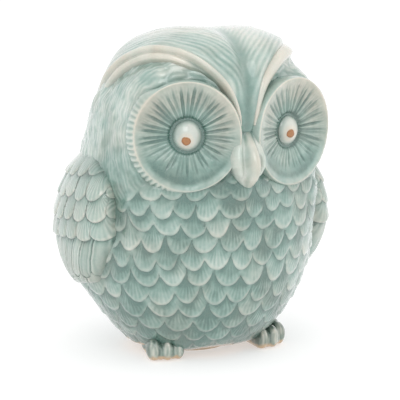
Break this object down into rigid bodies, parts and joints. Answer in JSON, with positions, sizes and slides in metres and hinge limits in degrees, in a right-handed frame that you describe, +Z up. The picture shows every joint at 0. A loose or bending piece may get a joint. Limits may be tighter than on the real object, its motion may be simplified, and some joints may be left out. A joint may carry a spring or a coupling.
{
  "type": "figural animal coin bank",
  "caption": "Glazed ceramic owl money box: hollow body with a coin slot at the back of the head, separate wings, feet, beak, dished eye discs and brows, rubber stopper beneath.",
  "frame": {"origin": "middle of the bounding box's bottom, on the table the bank stands on", "axes": "+Z up, the owl faces -Y, its left side is +X"},
  "size_m": [0.1148, 0.1071, 0.134],
  "materials": {
    "celadon_glaze": "glossy pale green crackle glaze",
    "eye_glaze": "glossy pale glaze",
    "bare_clay": "bare fired stoneware",
    "pupil_clay": "rust brown bare clay spot",
    "stopper_rubber": "soft off-white rubber"
  },
  "bodies": {
    "bank": {"shell": "celadon_glaze", "base_plate": "bare_clay", "right_wing": "celadon_glaze", "left_wing": "celadon_glaze", "right_foot": "celadon_glaze", "left_foot": "celadon_glaze", "beak": "celadon_glaze", "right_eye_disc": "celadon_glaze", "left_eye_disc": "celadon_glaze", "right_eyeball": "eye_glaze", "left_eyeball": "eye_glaze", "right_pupil": "pupil_clay", "left_pupil": "pupil_clay", "right_brow": "celadon_glaze", "left_brow": "celadon_glaze"},
    "stopper": {"stopper": "stopper_rubber"}
  },
  "joints": [
    {"name": "stopper_pull", "type": "slide", "parent": "bank", "child": "stopper", "axis": [0, 0, -1], "range_m": [0, 0.03]}
  ]
}
